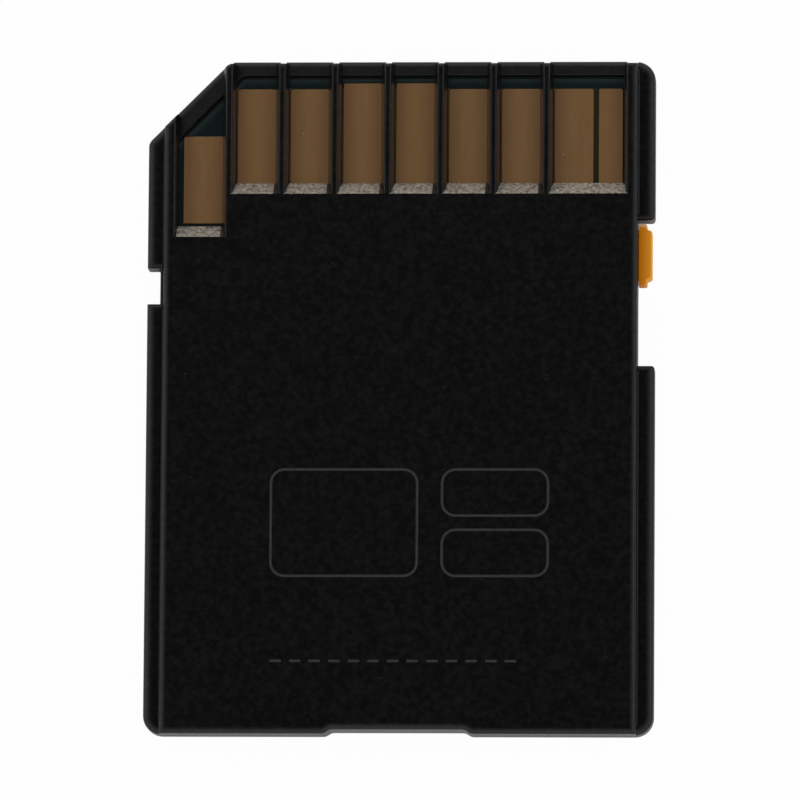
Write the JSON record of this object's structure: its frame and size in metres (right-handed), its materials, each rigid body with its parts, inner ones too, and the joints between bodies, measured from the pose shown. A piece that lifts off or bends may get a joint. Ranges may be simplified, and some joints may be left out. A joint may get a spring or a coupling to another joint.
{
  "type": "memory card",
  "caption": "Flat plastic memory card with a cut corner, a row of recessed gold contacts behind ribbed windows, side guide rails and a sliding write-protect tab.",
  "frame": {"origin": "under the middle of the card, on the label face", "axes": "+Y along the card towards the contact end, +Z out of the contact side, +X across to the slider"},
  "size_m": [0.024, 0.032, 0.0021],
  "materials": {
    "black_plastic": "fine spark-eroded moulding, satin black",
    "orange_plastic": "moulded orange, satin",
    "solder_mask": "dark green solder mask",
    "gold_plating": "hard gold plating",
    "package_epoxy": "moulded black epoxy",
    "capacitor_ceramic": "fired ceramic",
    "resistor_film": "glazed film"
  },
  "bodies": {
    "card": {"back_cover": "black_plastic", "front_cover": "black_plastic", "circuit_board": "solder_mask", "flash_memory": "package_epoxy", "memory_controller": "package_epoxy", "contact_pad_1": "gold_plating", "contact_pad_2": "gold_plating", "contact_pad_3": "gold_plating", "contact_pad_4": "gold_plating", "contact_pad_5": "gold_plating", "contact_pad_6": "gold_plating", "contact_pad_7": "gold_plating", "contact_pad_8": "gold_plating", "contact_pad_9": "gold_plating", "capacitor_1": "capacitor_ceramic", "capacitor_2": "capacitor_ceramic", "capacitor_3": "capacitor_ceramic", "capacitor_4": "capacitor_ceramic", "resistor_1": "resistor_film", "resistor_2": "resistor_film", "resistor_3": "resistor_film", "resistor_4": "resistor_film"},
    "slider": {"write_protect_slider": "orange_plastic"}
  },
  "joints": [
    {"name": "write_protect_slide", "type": "slide", "parent": "card", "child": "slider", "axis": [0, -1, 0], "range_m": [0, 0.00365]}
  ]
}
